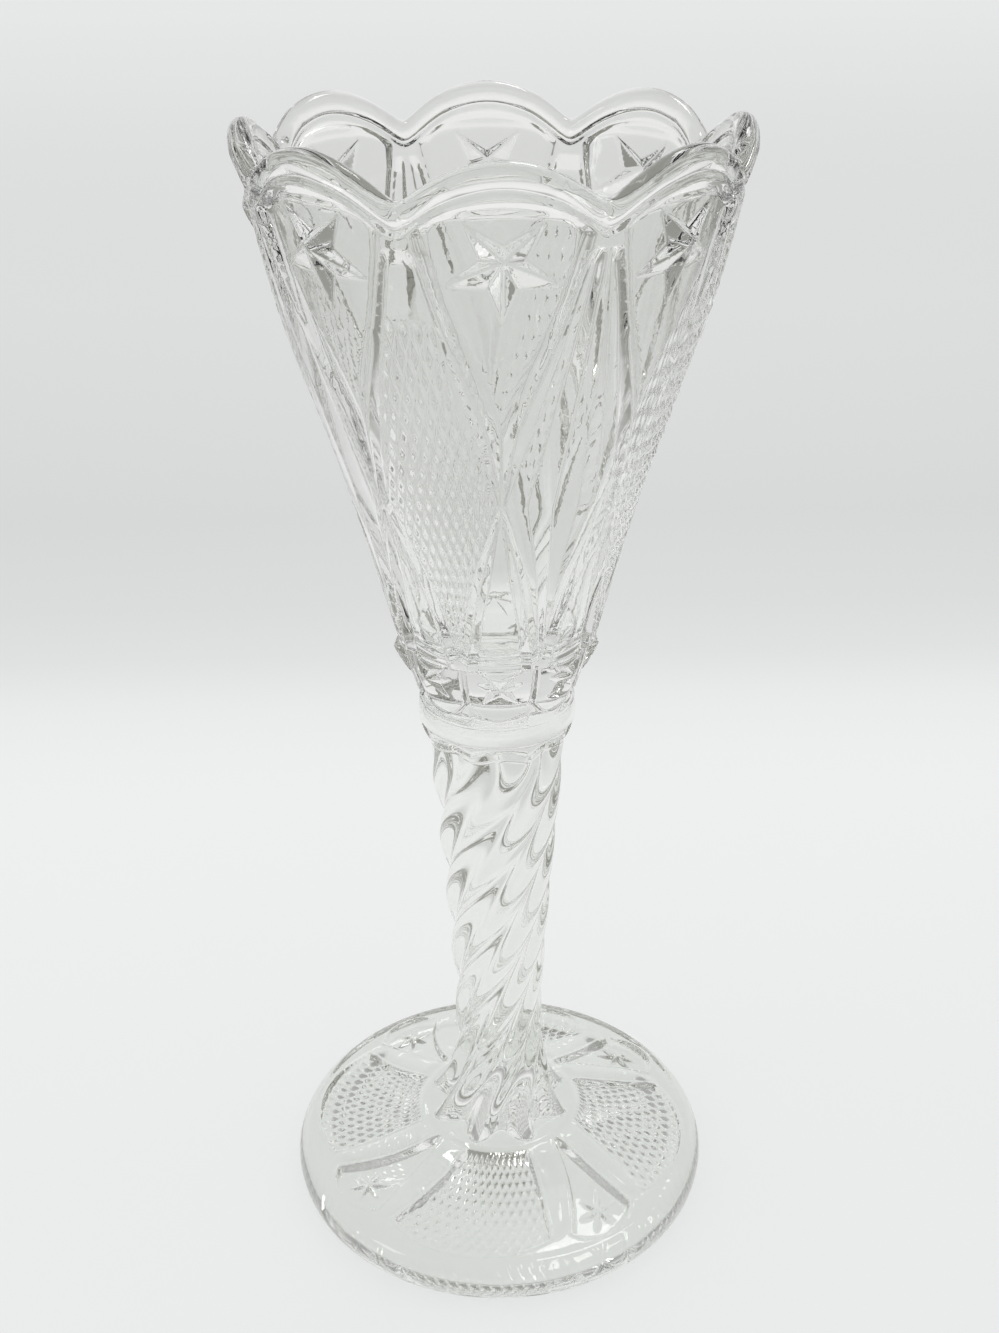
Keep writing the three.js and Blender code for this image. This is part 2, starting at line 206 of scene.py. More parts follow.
FOOT_HOBNAIL_MARGIN = (0.4, 1.2)  # from a fan's edge to where the hobnails start and are full
FOOT_BEAD = 0.5  # rise of the fine bead round fans and petals
FOOT_BEAD_WIDTH = 0.75  # to each side of its crest
FOOT_STAR_RADIUS = 38.5
FOOT_STAR_SIZE = 5.4
FOOT_STAR_RAYS = 6
FOOT_STAR_NOTCH = 0.3  # share of its size that it has between two rays
FOOT_STAR_RISE = 1.2

# Glass.
GLASS_IOR = 1.5
WALL_TINT = (0.965, 0.97, 0.955)
SOLID_TINT = (0.94, 0.95, 0.925)
RIPPLE = 0.03  # height of its waviness
WIDE_WAVES = 120  # features per metre
FINE_WAVES = 480
POLISH_PATCHES = 60
MOST_ROUGHNESS = 0.02

# Table, in metres. Glass shows it as it is in the middle, and with painted shade at its sides and in
# front.
TABLE_SIZE = 6.0  # from its middle to its edges
TABLE_LEVEL = -0.0001
CLEAR_HALF_WIDTH = 0.26  # of the middle that isn't shaded
CLEAR_WIDENING = 0.3  # of that half width, per metre behind the vase
SIDE_SHADE_END = 0.4  # distance in front of the vase at which the shaded sides end
FRONT_SHADE = (0.14, 0.6)  # distances in front of it between which it is shaded
SHADE_FADE = 0.1  # distance over which the shade sets in

VASE_MIDDLE = (0.0, 0.0, 0.12)  # in metres, where the lamps point


def lerp(a, b, part):
    """Straight from a to b."""
    return a + (b - a) * part


def smoothstep(x, low, high):
    """0 below low, 1 above high, and 3t^2 - 2t^3 between them."""
    t = np.clip((x - low) / (high - low), 0, 1)
    return t * t * (3 - 2 * t)


def fold(angle, repeats):
    """How far an angle is from the nearest of the repeats, and that repeat's number."""
    number = np.round(angle * repeats / 360)
    return angle - number * 360 / repeats, number.astype(int) % repeats


def polar(angle, radius, height):
    """Points at an angle from the front, a distance from the axis and a height."""
    turn = np.radians(angle)
    return np.stack(np.broadcast_arrays(radius * np.sin(turn), -radius * np.cos(turn), height), -1)


def star(x, y, outline, rise):
    """A pyramid over a star: its height falls straight from the middle to the outline.

    In the wedge between two neighbouring corners the height is rise times 1 minus the share
    of the way from the middle to the edge that joins them.
    """
    height = np.zeros_like(x)
    for (px, py), (qx, qy) in zip(outline, outline[1:] + outline[:1]):
        within = (px * y - py * x >= 0) & (x * qy - y * qx >= 0)
        share = (x * (qy - py) - y * (qx - px)) / (px * (qy - py) - py * (qx - px))
        height = np.where(within, rise * np.clip(1 - share, 0, None), height)
    return height


def hobnails(x, y, rise):
    """Rounded studs on a lattice of diamonds that are 2 wide and 2 high.

    With a = (x + y) / 2 and b = (x - y) / 2, and with p and q twice their distances from a
    whole number, the height is rise times (1 - p^1.5) times (1 - q^1.5).
    """
    a, b = (x + y) / 2, (x - y) / 2
    p, q = 2 * np.abs(a - np.round(a)), 2 * np.abs(b - np.round(b))
    return rise * (1 - p**1.5) * (1 - q**1.5)


class Lattice:
    """A closed grid of columns round the axis and rows up a piece.

    A line of the pattern pulls the nearest point of every row or column that it crosses onto
    itself, so that its edges come out crisp.
    """

    def __init__(self, levels):
        self.levels = np.asarray(levels, float)
        rows = np.arange(len(self.levels), dtype=float)
        self.v, self.u = np.meshgrid(rows, np.arange(COLUMNS, dtype=float), indexing="ij")
        self.first_v, self.first_u = self.v.copy(), self.u.copy()
        self.free = np.ones(self.u.shape, bool)

    def place(self, angle, level):
        """Column and row numbers of a point, with parts of one between two of them."""
        rows = np.arange(len(self.levels))
        return np.asarray(angle) * COLUMNS / 360, np.interp(level, self.levels, rows)

    def at(self, u, v):
        """Angle and level at column and row numbers."""
        return u * 360 / COLUMNS, np.interp(v, np.arange(len(self.levels)), self.levels)

    def pin(self, angle, level):
        """Moves the nearest point to a corner of the pattern."""
        u, v = self.place(angle, level)
        row, column = int(round(float(v))), int(round(float(u)))
        if 0 < row < len(self.levels) - 1 and self.free[row, column % COLUMNS]:
            self.u[row, column % COLUMNS] += u - column
            self.v[row, column % COLUMNS] += v - row
            self.free[row, column % COLUMNS] = False

    def draw(self, angles, levels):
        """Pulls points sideways onto steep stretches of a line, and up or down onto flat ones."""
        u, v = self.place(angles, levels)
        for ends in zip(u[:-1], v[:-1], u[1:], v[1:]):
            u0, v0, u1, v1 = map(float, ends)
            steep = abs(v1 - v0) >= abs(u1 - u0)
            # The stretch runs mostly along a, and b lies across it.
            a0, b0, a1, b1 = (v0, u0, v1, u1) if steep else (u0, v0, u1, v1)
            if a0 > a1:
                a0, b0, a1, b1 = a1, b1, a0, b0
            steps = np.arange(math.ceil(a0 - 1e-6), math.floor(a1 + 1e-6) + 1)
            if len(steps) == 0 or a1 - a0 < 1e-6:
                continue
            across = b0 + (steps - a0) * (b1 - b0) / (a1 - a0)
            near = np.round(across).astype(int)
            row, column = (steps, near) if steep else (near, steps)
            last = len(self.levels) - 1
            fits = (row >= 0) & (row <= last) if steep else (row > 0) & (row < last)
            row, column, shift = row[fits], column[fits] % COLUMNS, (across - near)[fits]
            fits = self.free[row, column]
            row, column, shift = row[fits], column[fits], shift[fits]
            self.move(row, column, shift, steep)

    def move(self, row, column, shift, sideways):
        """Moves points onto a line for good, with the free ones on both sides of it.

        So the cells along a line are all equally wide and it looks the same all the way.
        """
        moved, first = (self.u, self.first_u) if sideways else (self.v, self.first_v)
        for step in (-1, 1, 0):
            near_row = row if sideways else row + step
            near_column = (column + step) % COLUMNS if sideways else column
            fits = (near_row > 0) & (near_row < len(self.levels) - 1)
            at = near_row[fits], near_column[fits]
            loose = self.free[at]
            at = at[0][loose], at[1][loose]
            moved[at] = first[at] + shift[fits][loose]
        self.free[row, column] = False

    def points(self):
        """Angle and level of every point."""
        return self.at(self.u, self.v)

    def other_diagonal(self, relief):
        """Cells that follow the relief better when they are split along their other diagonal.

        The relief in the middle of a cell is compared with its mean at both ends of each one.
        """
        u_next = np.roll(self.u, -1, 1)
        u_next[:, -1] += COLUMNS
        v_next = np.roll(self.v, -1, 1)
        u = (self.u[:-1] + self.u[1:] + u_next[:-1] + u_next[1:]) / 4
        v = (self.v[:-1] + self.v[1:] + v_next[:-1] + v_next[1:]) / 4
        middle = relief(*self.at(u, v))
        corner = relief(*self.points())
        beside = np.roll(corner, -1, 1)
        first = np.abs((corner[:-1] + beside[1:]) / 2 - middle)
        second = np.abs((beside[:-1] + corner[1:]) / 2 - middle)
        return second < first


def band(low, high, other=None):
    """Triangles between two rings of points with the same count, counter-clockwise from outside.

    low and high hold the points' numbers, ring after ring. Cells for which other is true are
    split along their other diagonal.
    """
    low_next, high_next = np.roll(low, -1, 1), np.roll(high, -1, 1)
    first = np.stack([low, low_next, high_next, low, high_next, high], -1)
    second = np.stack([low, low_next, high, low_next, high_next, high], -1)
    faces = first if other is None else np.where(other[..., None], second, first)
    return faces.reshape(-1, 3)


def thin_out(low, high):
    """Triangles from a ring of points to one with a fourth of the count.

    Of every four cells two fan out from one point above and two from the next, with one
    triangle between the fans.
    """
    quarter = low.reshape(-1, 4)
    after = np.roll(quarter[:, 0], -1)
    high_next = np.roll(high, -1)
    fans = [np.stack([quarter[:, k], quarter[:, k + 1], high], -1) for k in range(2)]
    fans += [np.stack([quarter[:, 2], high_next, high], -1)]
    fans += [np.stack([quarter[:, 2], quarter[:, 3], high_next], -1)]
    fans += [np.stack([quarter[:, 3], after, high_next], -1)]
    return np.concatenate(fans)


def cap(ring, middle, upwards):
    """Triangles from a ring to one point, facing up or down."""
    ring_next = np.roll(ring, -1)
    middle = np.full_like(ring, middle)
    order = [ring, ring_next, middle] if upwards else [ring_next, ring, middle]
    return np.stack(order, -1)


def glass_piece(name, points, faces, joint_faces, material, node):
    """A closed mesh in metres; faces that are fused to the next piece come last and are clear."""
    mesh = bpy.data.meshes.new(name)
    every = np.concatenate([faces, joint_faces])
    mesh.from_pydata((points * MM).tolist(), [], every.tolist())
    mesh.materials.append(material)
    mesh.materials.append(FUSED)
    index = np.zeros(len(every), np.int32)
    index[len(faces):] = 1
    mesh.polygons.foreach_set("material_index", index)
    mesh.polygons.foreach_set("use_smooth", np.ones(len(every), bool))
    mesh.validate()
    piece = bpy.data.objects.new(name, mesh)
    bpy.context.scene.collection.objects.link(piece)
    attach(piece, "root")
    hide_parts(node)
    return piece


# Bowl


def rim_height(angle):
    """Height of the rim: a parabola from each lobe down to a rounded valley."""
    share = np.abs(fold(angle, LOBES)[0]) / HALF_LOBE
    bend = 2 / VALLEY_POWER
    return BOWL_HEIGHT - SCALLOP_DROP * (share**2 - bend * share**VALLEY_POWER) / (1 - bend)


def wall_radius(height):
    """Radius of the bowl's outside over the bands.

    A quarter of an ellipse rounds the tabs, and above it the wall is straight, less a sine
    that bellies it in low down and out near the rim. They merge over the TAB_BLEND.
    """
    rise = np.clip(1 - height / TAB_HEIGHT, 0, 1)
    low = lerp(BASE_RADIUS, TAB_RADIUS, np.sqrt(1 - rise**2))
    t = np.clip((height - TAB_HEIGHT) / (BOWL_HEIGHT - LIP - TAB_HEIGHT), -1, 1)
    high = lerp(TAB_RADIUS, MOUTH_RADIUS, t) - WALL_SWELL * np.sin(2 * np.pi * t)
    return lerp(low, high, smoothstep(height, TAB_HEIGHT - TAB_BLEND, TAB_HEIGHT + TAB_BLEND))


def bowl_height(angle, level):
    """Height of a level: above FOLLOW_LEVEL the rows close up so that the last one follows the rim."""
    above = np.clip(level - FOLLOW_LEVEL, 0, None)
    top = rim_height(angle) - LIP / 2
    return level - above + above * (top - FOLLOW_LEVEL) / (TOP_LEVEL - FOLLOW_LEVEL)


def bowl_level(angle, height):
    """The level that lies at a height, the other way round."""
    height = np.asarray(height, float)
    above = np.clip(height - FOLLOW_LEVEL, 0, None)
    top = rim_height(np.asarray(angle, float)) - LIP / 2
    return height - above + above * (TOP_LEVEL - FOLLOW_LEVEL) / (top - FOLLOW_LEVEL)


def pattern_lines(height):
    """Angles of the inner edge, the crest and the outer edge of a band at a height."""
    upper = height > CROSSING
    inner = np.where(upper, np.interp(height, UPPER_HEIGHTS, WINDOW_EDGE),
                     np.interp(height, LINE_HEIGHTS, LANCET_EDGE))
    crest = np.where(upper, np.interp(height, UPPER_HEIGHTS, UPPER_CREST),
                     np.interp(height, LINE_HEIGHTS, LOWER_CREST))
    outer = np.where(upper, np.interp(height, UPPER_HEIGHTS, UPPER_OUTER),
                     np.interp(height, LINE_HEIGHTS, LOWER_OUTER))
    return inner, crest, outer


def window_top(angle):
    """Height of a window's upper edge: less a parabola, and less an eighth power at its ends."""
    share = np.clip(np.abs(angle) / WINDOW_EDGE[-1], 0, 1)
    return WINDOW_TOP - WINDOW_TOP_SAG * share**2 - WINDOW_TOP_ROUND * share**8


def hobnail_row(height):
    """Number of half hobnails up to a height.

    Each is as high as a share of the radius, so the number grows with the radius's logarithm.
    """
    radius = TAB_RADIUS + WALL_LEAN * (height - TAB_HEIGHT)
    return np.log(radius / TAB_RADIUS) / (HOBNAIL_SHARE * WALL_LEAN)


def hobnail_height(row):
    """The height of a number of half hobnails, the other way round."""
    radius = TAB_RADIUS * np.exp(row * HOBNAIL_SHARE * WALL_LEAN)
    return TAB_HEIGHT + (radius - TAB_RADIUS) / WALL_LEAN


def lip_depth(below):
    """How far the lip's round underside draws in at a distance below the rim, to its crease."""
    sine = np.clip(below / (LIP / 2) - 1, 0, math.sin(math.radians(LIP_CREASE)))
    return LIP / 2 * (1 - np.sqrt(1 - sine**2))


def window_relief(aside, height, rim, inner, crest):
    """A window with its star above the crossing, and a flat lancet below it.

    A straight slope leads from the crest of the band down to its inner edge, where the depth
    is reached. Above a window's upper edge it changes straight to the frame's, which is
    reached at the foot of the lip's groove.
    """
    depth = np.where(
        height > CROSSING,
        WINDOW_DEPTH * np.clip((height - CROSSING) / (WINDOW_TIP - CROSSING), 0, 1),
        LANCET_DEPTH * np.clip((CROSSING - height) / LANCET_FADE, 0, 1),
    )
    slope = np.clip((crest - np.abs(aside)) / np.maximum(crest - inner, LEAST_WIDTH), 0, 1)
    x = np.radians(aside) * STAR_RADIUS
    floor = -depth * slope + star(x, height - STAR_MIDDLE, STAR_OUTLINE, STAR_RISE)
    top = window_top(aside)
    frame_end = rim - LIP_END - LIP_GROOVE
    over = np.clip((height - top) / np.maximum(frame_end - top, LEAST_FRAME), 0, 1)
    return lerp(floor, -WINDOW_FRAME * slope, over)


def window_bead(aside, height, inner):
    """The fine bead along a window's outline: it falls straight to both sides of its crest."""
    beside = np.radians(np.abs(aside) - inner) * wall_radius(height)
    line = np.abs(np.maximum(beside, height - window_top(aside)))
    bead = WINDOW_BEAD * np.clip(1 - line / WINDOW_BEAD_WIDTH, 0, 1)
    return bead * smoothstep(height, WINDOW_TIP, WINDOW_TIP + WINDOW_BEAD_FADE)


def kite_relief(angle, height, crest, outer):
    """The kites between the lobes: hobnails in one, and a blade between two grooves in the next.

    A straight slope leads from the crest of the band down to the kite's edge. From there on a
    kite with hobnails is level under them, and a blade is straight between the depths given
    for shares of the way from its middle.
    """
    aside, lobe = fold(angle, LOBES)
    away = np.abs(aside)
    kite = np.where(aside < 0, (lobe + LOBES - 1) % LOBES, lobe)
    across = np.clip((away - crest) / np.maximum(outer - crest, LEAST_WIDTH), 0, 1)
    studs = hobnails(angle / HOBNAIL_ANGLE, hobnail_row(height), HOBNAIL_RISE)
    inside = smoothstep(away - outer, 0, HOBNAIL_MARGIN)
    inside = inside * smoothstep(HOBNAIL_TOP - height, 0, HOBNAIL_TOP_FADE)
    studded = -KITE_DEPTH * across + studs * inside
    middle = (HALF_LOBE - away) / np.maximum(HALF_LOBE - outer, LEAST_WIDTH)
    bladed = np.where(away > outer, -np.interp(middle, BLADE, BLADE_DEPTHS),
                      -BLADE_DEPTHS[-1] * across)
    fade = np.clip((KITE_TOP - height) / KITE_TOP_FADE, 0, 1)
    fade = fade * np.clip((height - KITE_START) / KITE_START_FADE, 0, 1)
    return np.where(kite % 2 == 1, studded, bladed) * fade


def tab_relief(aside, height):
    """The tabs: a small star on a face that a parabola curves back all round.

    The face falls straight to its sides. Its lower edge is a parabola too, under which it
    steps back into a notch.
    """
    away = np.abs(aside)
    x, y = np.radians(aside) * TAB_STAR_RADIUS, height - TAB_MIDDLE
    rays = star(x, y, TAB_OUTLINE, TAB_RISE)
    side = np.clip((away - TAB_SIDE) / TAB_SIDE_WIDTH, 0, 1)
    face = rays - TAB_FACE - TAB_BULGE * (x**2 + y**2) - TAB_SIDE_DEPTH * side
    edge = lerp(*TAB_EDGE, (away / HALF_LOBE) ** 2)
    notch = TAB_NOTCH * smoothstep(edge - height, *TAB_NOTCH_SLOPE)
    return (face - notch) * smoothstep(height, 0, TAB_FADE)


def bowl_relief(angle, level):
    """How far the pattern stands out from the bands' crest, which is 0, so mostly negative.

    A band is a roof along its crest. Inside it lie the window and the lancet of its lobe and
    outside it the kites, with a fine bead along each window and the tabs under all of them.
    The lip rolls in over them and ends in a crease that follows the scallops.
    """
    height = bowl_height(angle, level)
    aside = fold(angle, LOBES)[0]
    inner, crest, outer = pattern_lines(height)
    rim = rim_height(angle)
    relief = np.where(np.abs(aside) <= crest,
                      window_relief(aside, height, rim, inner, crest),
                      kite_relief(angle, height, crest, outer))
    relief = relief + window_bead(aside, height, inner)
    tab = smoothstep(TAB_TOP - height, -TAB_STEP, TAB_STEP)
    relief = lerp(relief, tab_relief(aside, height), tab)
    below = rim - height
    return lerp(-lip_depth(below), relief, smoothstep(below, LIP_END, LIP_END + LIP_GROOVE))


def bowl_levels():
    """Rows of the wall: close over the tabs, the stars and the lip, and set by the hobnails between."""
    parts = ROWS_PER_HOBNAIL / 2
    first, last = (round(float(hobnail_row(height)) * parts) for height in HOBNAIL_ROWS)
    middle = hobnail_height(np.arange(first, last + 1) / parts)
    low = np.linspace(0, middle[0], TAB_ROW_COUNT + 1)[:-1]
    stars = np.linspace(middle[-1], LIP_ROWS_START, STAR_ROW_COUNT + 1)[1:]
    lip = np.linspace(LIP_ROWS_START, TOP_LEVEL, LIP_ROW_COUNT + 1)[1:]
    return np.concatenate([low, middle, stars, lip])


def star_corners(outline, middle, radius):
    """Angle and height of a star's middle, and those of its corners."""
    corners = [(math.degrees(x / radius), middle + y) for x, y in outline]
    return (0.0, middle), corners


def draw_bowl_pattern(grid):
    """Pulls the grid onto the corners of all the stars, and then onto the lines of all the lobes."""
    stars = [star_corners(STAR_OUTLINE, STAR_MIDDLE, STAR_RADIUS),
             star_corners(TAB_OUTLINE, TAB_MIDDLE, TAB_STAR_RADIUS)]
    bands = [(np.array(line), np.array(UPPER_HEIGHTS))
             for line in (UPPER_CREST, WINDOW_EDGE, UPPER_OUTER)]
    bands += [(np.array(line), np.array(LINE_HEIGHTS))
              for line in (LANCET_EDGE, LOWER_CREST, LOWER_OUTER)]
    blade_heights = np.linspace(BLADE_START, KITE_TOP, 40)
    outer = pattern_lines(blade_heights)[2]
    blades = [(HALF_LOBE - part * (HALF_LOBE - outer), blade_heights) for part in BLADE[1:3]]
    turns = np.linspace(-WINDOW_EDGE[-1], WINDOW_EDGE[-1], 35)
    round_turns = np.linspace(-HALF_LOBE, HALF_LOBE, 73)
    crease = bowl_level(round_turns, rim_height(round_turns) - LIP_END)
    for lobe in range(LOBES):
        for middle, corners in stars:
            for angle, height in corners + [middle]:
                grid.pin(lobe * 2 * HALF_LOBE + angle, bowl_level(angle, height))
    for lobe in range(LOBES):
        turn = lobe * 2 * HALF_LOBE
        for middle, corners in stars:
            for corner, after in zip(corners, corners[1:] + corners[:1]):
                for start, end in ((middle, corner), (corner, after)):
                    angles = np.linspace(start[0], end[0], 5)
                    heights = np.linspace(start[1], end[1], 5)
                    grid.draw(turn + angles, bowl_level(angles, heights))
        for side in (-1, 1):
            kite = (lobe + LOBES - 1) % LOBES if side < 0 else lobe
            for angles, line_heights in bands + (blades if kite % 2 == 0 else []):
                fine = np.linspace(line_heights[0], line_heights[-1], 60)
                turned = np.interp(fine, line_heights, angles)
                grid.draw(turn + side * turned, bowl_level(turned, fine))
        grid.draw(turn + turns, bowl_level(turns, window_top(turns)))
        grid.draw(turn + round_turns, crease)


def bowl_lip(angle, turn):
    """The lip: half a circle of the lip's thickness, carried along the rim."""
    centre = rim_height(angle) - LIP / 2
    radius = wall_radius(centre) - LIP / 2 + LIP / 2 * np.cos(turn)
    return polar(angle, radius, centre + LIP / 2 * np.sin(turn))


def cavity_radius(height):
    """Radius of the smooth cavity: the outside less the wall, on an ellipse at the floor."""
    round_in = np.clip(1 - (height - FLOOR_HEIGHT) / FLOOR_ROUND, 0, 1)
    return (wall_radius(height) - WALL) * np.sqrt(1 - round_in**2)


def make_bowl(material):
    """The bowl, from the middle of its underside up the outside, over the lip and down inside."""
    grid = Lattice(bowl_levels())
    draw_bowl_pattern(grid)
    angle, level = grid.points()
    height = bowl_height(angle, level)
    rings = [polar(angle, wall_radius(height) + bowl_relief(angle, level), height)]
    for step in range(1, LIP_STEPS + 1):
        rings.append(bowl_lip(angle[-1], math.pi * step / LIP_STEPS)[None])
    outside = np.concatenate(rings)
    few = np.arange(0, COLUMNS, INSIDE_EVERY) * 360 / COLUMNS
    inside = []
    corner = FLOOR_HEIGHT + FLOOR_ROUND
    for part in np.linspace(INSIDE_START, 1, 24):
        down = lerp(rim_height(few) - LIP / 2, corner, part)
        inside.append(polar(few, cavity_radius(down), down))
    for part in np.linspace(0, 1, 12)[1:-1]:
        down = FLOOR_HEIGHT + FLOOR_ROUND * (1 - part) ** 2 + 0 * few
        inside.append(polar(few, cavity_radius(down), down))
    inside = np.array(inside)
    count = outside.shape[0] * COLUMNS
    out_numbers = np.arange(count).reshape(-1, COLUMNS)
    in_numbers = count + np.arange(inside.shape[0] * len(few)).reshape(-1, len(few))
    poles = count + in_numbers.size
    points = np.concatenate([outside.reshape(-1, 3), inside.reshape(-1, 3),
                             [[0, 0, 0], [0, 0, FLOOR_HEIGHT]]])
    points[:, 2] += BOWL_BASE
    other = np.zeros((outside.shape[0] - 1, COLUMNS), bool)
    other[: len(grid.levels) - 1] = grid.other_diagonal(bowl_relief)
    faces = np.concatenate([
        band(out_numbers[:-1], out_numbers[1:], other),
        thin_out(out_numbers[-1], in_numbers[0]),
        band(in_numbers[:-1], in_numbers[1:]),
        cap(in_numbers[-1], poles + 1, True),
    ])
    return glass_piece("bowl_glass", points, faces, cap(out_numbers[0], poles, False),
                       material, "bowl")


# Stem and collar


def twist(height):
    """Degrees that the ridges have turned: a steady rate, with a parabola at each end."""
    total = TWIST_STEPS * 360 / FLUTES
    whole = STEM_LENGTH - TWIST_EASE

    def run(x):
        """A parabola, and past TWIST_EASE a straight line."""
        return np.where(x < TWIST_EASE, x**2 / (2 * TWIST_EASE), x - TWIST_EASE / 2)

    low = run(height)
    high = whole - run(STEM_LENGTH - height)
    return total * np.where(height < STEM_LENGTH / 2, low, high) / whole


def ridge_radius(height):
    """Radius of the ridges: a flare that dies away upwards, and a slow widening above the waist."""
    flare = (STEM_TIP_RADIUS - STEM_WAIST_RADIUS) * np.exp(-height / STEM_FLARE)
    up = np.clip((height - STEM_WAIST_HEIGHT) / (STEM_LENGTH - STEM_WAIST_HEIGHT), 0, 1)
    return STEM_WAIST_RADIUS + flare + (STEM_TOP_RADIUS - STEM_WAIST_RADIUS) * up**TAPER_POWER


def flute_share(angle):
    """0 in the middle of a flute and 1 on a ridge."""
    return np.abs(fold(angle, FLUTES)[0]) / HALF_FLUTE


def flute_depth(angle, height):
    """Depth of the flutes: a squared cosine across each, deeper over the star at the foot."""
    star_depth = STAR_DEPTH * np.exp(-height / STEM_FLARE)
    return (FLUTE_DEPTH + star_depth) * np.cos(np.pi / 2 * flute_share(angle)) ** 2


def stem_point(angle, height):
    """The stem's skin: the ridges' radius less the flutes, turned by the twist."""
    return polar(angle + twist(height), ridge_radius(height) - flute_depth(angle, height), height)


def stack_piece(name, rings, base, material, node):
    """A solid of stacked rings that is fused to its neighbours at both flat ends."""
    count = rings.shape[0] * COLUMNS
    numbers = np.arange(count).reshape(-1, COLUMNS)
    ends = [[0, 0, rings[0, 0, 2]], [0, 0, rings[-1, 0, 2]]]
    points = np.concatenate([rings.reshape(-1, 3), ends])
    points[:, 2] += base
    joint = np.concatenate([cap(numbers[0], count, False), cap(numbers[-1], count + 1, True)])
    return glass_piece(name, points, band(numbers[:-1], numbers[1:]), joint, material, node)


def make_stem(material):
    """The twisted stem, with closer rows over the star at its foot."""
    angle = np.arange(COLUMNS) * 360 / COLUMNS
    levels = np.concatenate([np.linspace(0, STEM_STAR_ROWS, 31),
                             np.linspace(STEM_STAR_ROWS, STEM_LENGTH, 121)[1:]])
    rings = stem_point(angle[None], levels[:, None])
    return stack_piece("stem_glass", rings, STEM_BASE, material, "stem")


def collar_point(angle, height):
    """The collar: a sine out to its belly and a parabola in to its neck.

    Under a parabola on each flute it steps in to the stem's own section, and over it lies a
    shallow groove, a sine, up to a crease.
    """
    head = ARCH_START + ARCH_HEIGHT * (1 - flute_share(angle) ** 2)
    below = 1 - smoothstep(height, head - ARCH_SLOPE, head)
    rise = np.clip(height / COLLAR_BELLY, 0, 1)
    fall = np.clip((height - COLLAR_BELLY) / (COLLAR_HEIGHT - COLLAR_BELLY), 0, 1)
    belly = (COLLAR_RADIUS - STEM_TOP_RADIUS) * np.sin(np.pi / 2 * rise)
    hollow = np.clip((height - head) / (COLLAR_CREASE - head), 0, 1)
    ring = STEM_TOP_RADIUS + belly - COLLAR_NECK * fall**2 - COLLAR_GROOVE * np.sin(np.pi * hollow)
    flute = STEM_TOP_RADIUS - flute_depth(angle, STEM_LENGTH)
    return polar(angle, lerp(ring, flute, below), height)


def make_collar(material):
    """The ring between the stem and the bowl."""
    angle = np.arange(COLUMNS) * 360 / COLUMNS
    rings = collar_point(angle[None], np.linspace(0, COLLAR_HEIGHT, 41)[:, None])
    return stack_piece("collar_glass", rings, COLLAR_BASE, material, "collar")


# Foot


def outward(radius):
    """Share of the way from the seat to the outer end of the pattern."""
    return np.clip((radius - SEAT_RADIUS) / (PATTERN_RADIUS - SEAT_RADIUS), 0, 1)


def foot_turn(radius):
    """Degrees that the pattern is turned: it swirls on its way in to the stem."""
    return FOOT_TURN + FOOT_SWIRL * (1 - outward(radius))


def foot_top(radius):
    """Height of the foot's top over the bands: a shallow dome, a power of the way in."""
    inner = np.clip((TOP_RADIUS - radius) / (TOP_RADIUS - SEAT_RADIUS), 0, 1)
    return lerp(FOOT_EDGE_HEIGHT, FOOT_HEIGHT, inner**DOME_POWER)


def foot_edges(radius):
    """Shares at which a fan ends and a petal starts."""
    out = outward(radius)
    return lerp(*FAN_EDGE, out), lerp(*PETAL_EDGE, out)


def foot_relief(angle, inward):
    """The foot's pattern below the bands, by the angle before its turn and the way in from the edge.

    Fans and petals are sunk, with a straight slope and a fine bead at their edges, and the
    bands between them bulge in a parabola. The fans carry hobnails on a lattice that swirls
    with them. Each petal has a small star, a cone whose reach swells to its rays with the
    cube of a cosine.
    """
    radius = TOP_RADIUS - inward
    share = np.abs(fold(angle, FANS)[0]) / HALF_FAN
    arc = np.radians(HALF_FAN) * radius
    fan, petal = foot_edges(radius)
    fan_end = PATTERN_RADIUS - PATTERN_ROUND * (share / fan) ** 2
    petal_end = PATTERN_RADIUS - PATTERN_ROUND * ((1 - share) / (1 - petal)) ** 2
    in_fan = np.minimum(fan_end - radius, (fan - share) * arc)
    in_petal = np.minimum(petal_end - radius, (share - petal) * arc)
    start = smoothstep(radius, SEAT_RADIUS + FOOT_START, SEAT_RADIUS + FOOT_FULL)
    sink_fan = np.clip(in_fan / FOOT_SLOPE, 0, 1)
    sink_petal = np.clip(in_petal / FOOT_SLOPE, 0, 1)
    rows = inward / (TOP_RADIUS - SEAT_RADIUS) * FOOT_ROWS
    studs = hobnails(angle / HOBNAIL_ANGLE, rows * 2 / FOOT_ROWS_PER_HOBNAIL, FOOT_HOBNAIL_RISE)
    across = fold(angle - HALF_FAN, FANS)[0]
    x, y = np.radians(across) * radius, radius - FOOT_STAR_RADIUS
    swell = np.abs(np.cos(FOOT_STAR_RAYS / 2 * np.arctan2(y, x))) ** 3
    size = FOOT_STAR_SIZE * (FOOT_STAR_NOTCH + (1 - FOOT_STAR_NOTCH) * swell)
    rays = FOOT_STAR_RISE * np.clip(1 - np.hypot(x, y) / size, 0, 1)
    between = np.clip((share - fan) / (petal - fan), 0, 1)
    crown = FOOT_CROWN * 4 * between * (1 - between)
    crown = crown * smoothstep(fan_end - radius, -FOOT_CROWN_FADE, FOOT_CROWN_FADE)
    sunk = -FOOT_RELIEF * np.maximum(sink_fan, sink_petal)
    filled = smoothstep(in_fan, *FOOT_HOBNAIL_MARGIN)
    line = np.minimum(np.abs(in_fan), np.abs(in_petal))
    bead = FOOT_BEAD * np.clip(1 - line / FOOT_BEAD_WIDTH, 0, 1)
    return start * (sunk + crown + bead + studs * filled + rays * sink_petal)


